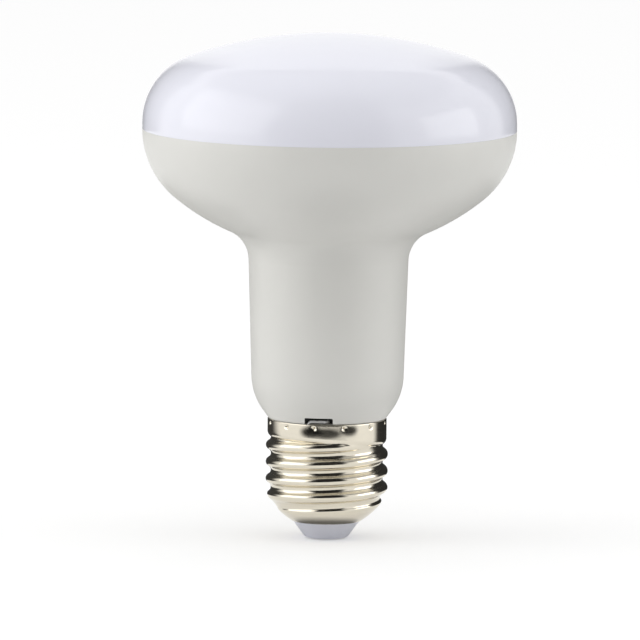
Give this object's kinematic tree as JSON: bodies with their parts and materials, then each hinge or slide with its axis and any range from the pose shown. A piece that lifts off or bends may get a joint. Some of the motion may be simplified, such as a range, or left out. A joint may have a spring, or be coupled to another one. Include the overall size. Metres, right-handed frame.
{
  "type": "reflector bulb",
  "caption": "Reflector lamp with a domed opal cover, a moulded bowl and neck, and a screw cap with its centre contact",
  "frame": {"origin": "the tip of the centre contact, on the lamp's axis, at the lowest point of the part", "axes": "+Z runs along the lamp's axis from the cap to the cover; -Y is the side with the wire notch; +X completes the right-handed set"},
  "size_m": [0.08, 0.08, 0.1084],
  "materials": {
    "housing_plastic": "satin moulded plastic, warm white",
    "opal_cover": "milky glossy diffuser, cool white",
    "tray_aluminium": "plain drawn sheet",
    "board_white": "white solder mask on aluminium",
    "led_package": "white package with a yellow phosphor window",
    "screw_steel": "zinc-plated steel",
    "driver_laminate": "green solder mask on laminate",
    "ferrite": "dark matt ferrite",
    "bobbin_plastic": "black moulded plastic",
    "winding_tape": "yellow insulating tape over copper wire",
    "chip_epoxy": "black epoxy with tinned legs",
    "can_aluminium": "sleeved aluminium can",
    "film_box": "coated film capacitor",
    "resistor_body": "lacquered resistor body",
    "varistor_lacquer": "blue epoxy lacquer",
    "nickel_shell": "nickel-plated rolled sheet, bright",
    "insulator_plastic": "pale moulded insulator",
    "contact_metal": "tinned contact",
    "tinned_copper": "bare tinned wire",
    "lead_black": "black insulated lead",
    "lead_red": "red insulated lead"
  },
  "bodies": {
    "root": {"housing": "housing_plastic", "cover": "opal_cover", "heat_sink": "tray_aluminium", "led_board": "board_white", "leds": "led_package", "board_screws": "screw_steel", "driver_board": "driver_laminate", "transformer_core": "ferrite", "transformer_bobbin": "bobbin_plastic", "transformer_winding": "winding_tape", "bridge_rectifier": "chip_epoxy", "driver_chip": "chip_epoxy", "output_diode": "chip_epoxy", "input_capacitor": "can_aluminium", "output_capacitor": "can_aluminium", "film_capacitor": "film_box", "filter_choke": "ferrite", "fuse_resistor": "resistor_body", "varistor": "varistor_lacquer", "screw_shell": "nickel_shell", "cap_insulator": "insulator_plastic", "centre_contact": "contact_metal", "neutral_wire": "tinned_copper", "live_wire": "lead_black", "led_positive_wire": "lead_red", "led_negative_wire": "lead_black"}
  },
  "joints": []
}
